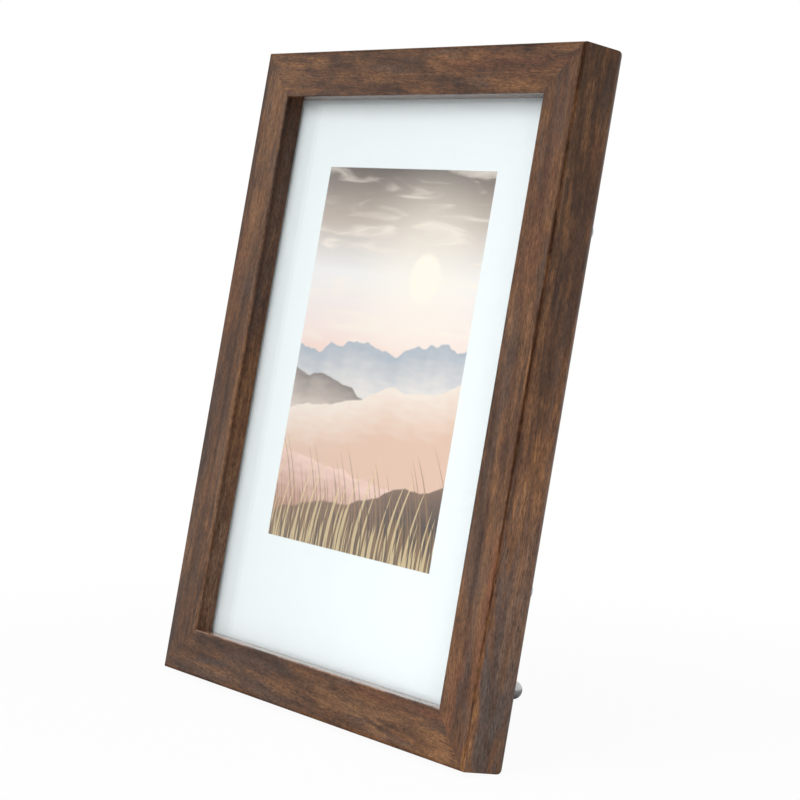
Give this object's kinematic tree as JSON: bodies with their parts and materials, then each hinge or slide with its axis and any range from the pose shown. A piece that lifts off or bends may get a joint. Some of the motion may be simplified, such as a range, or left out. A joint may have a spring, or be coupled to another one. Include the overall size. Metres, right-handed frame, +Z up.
{
  "type": "photo frame",
  "caption": "Stained wood photo frame with glass over a white-bordered insert, leaning back on a round metal pin, with turn buttons and ring hangers on its back.",
  "frame": {"origin": "middle of the bounding box's underside, on the surface that the frame stands on", "axes": "+Z up, +Y towards the back where the support pin stands, +X to the right of someone who faces the picture"},
  "size_m": [0.1702, 0.0924, 0.2197],
  "materials": {
    "stained_wood": "brown stain, semi-gloss lacquer",
    "glass": "clear float",
    "printed_paper": "coated paper, white with a printed picture",
    "grey_card": "raw card",
    "fibre_board": "dark dyed fibre board",
    "nickel_steel": "nickel plated",
    "zinc_steel": "zinc plated",
    "brass_plate": "brass plated steel"
  },
  "bodies": {
    "frame": {"left_stile": "stained_wood", "right_stile": "stained_wood", "bottom_rail": "stained_wood", "top_rail": "stained_wood", "corner_v_nails": "zinc_steel", "glass_pane": "glass", "picture_insert": "printed_paper", "portrait_pin_socket": "nickel_steel", "landscape_pin_socket": "nickel_steel", "filler_board": "grey_card", "back_board": "fibre_board", "turn_button_screws": "zinc_steel", "portrait_hanger_strap": "brass_plate", "landscape_hanger_strap": "brass_plate", "hanger_rivets": "brass_plate"},
    "landscape_hanger_ring": {"landscape_hanger_ring": "brass_plate"},
    "portrait_hanger_ring": {"portrait_hanger_ring": "brass_plate"},
    "support_pin": {"support_pin": "nickel_steel"},
    "turn_button_lower_left": {"turn_button_lower_left": "zinc_steel"},
    "turn_button_lower_right": {"turn_button_lower_right": "zinc_steel"},
    "turn_button_upper_left": {"turn_button_upper_left": "zinc_steel"},
    "turn_button_upper_right": {"turn_button_upper_right": "zinc_steel"}
  },
  "joints": [
    {"name": "support_pin_slide", "type": "slide", "parent": "frame", "child": "support_pin", "axis": [0, 0.989, -0.1476], "range_m": [0, 0.025]},
    {"name": "turn_button_upper_left_swivel", "type": "hinge", "parent": "frame", "child": "turn_button_upper_left", "pos_m": [-0.0791, -0.00432, 0.16268], "axis": [0, 0.989, -0.1476], "continuous": true},
    {"name": "turn_button_lower_left_swivel", "type": "hinge", "parent": "frame", "child": "turn_button_lower_left", "pos_m": [-0.0791, -0.02056, 0.05388], "axis": [0, 0.989, -0.1476], "continuous": true},
    {"name": "turn_button_upper_right_swivel", "type": "hinge", "parent": "frame", "child": "turn_button_upper_right", "pos_m": [0.0791, -0.00432, 0.16268], "axis": [0, 0.989, -0.1476], "continuous": true},
    {"name": "turn_button_lower_right_swivel", "type": "hinge", "parent": "frame", "child": "turn_button_lower_right", "pos_m": [0.0791, -0.02056, 0.05388], "axis": [0, 0.989, -0.1476], "continuous": true},
    {"name": "portrait_ring_swing", "type": "hinge", "parent": "frame", "child": "portrait_hanger_ring", "pos_m": [0, 0.00173, 0.19322], "axis": [-1, 0, 0], "range_deg": [0, 170]},
    {"name": "landscape_ring_swing", "type": "hinge", "parent": "frame", "child": "landscape_hanger_ring", "pos_m": [-0.0611, -0.01098, 0.10806], "axis": [0, -0.1476, -0.989], "range_deg": [0, 170]}
  ]
}
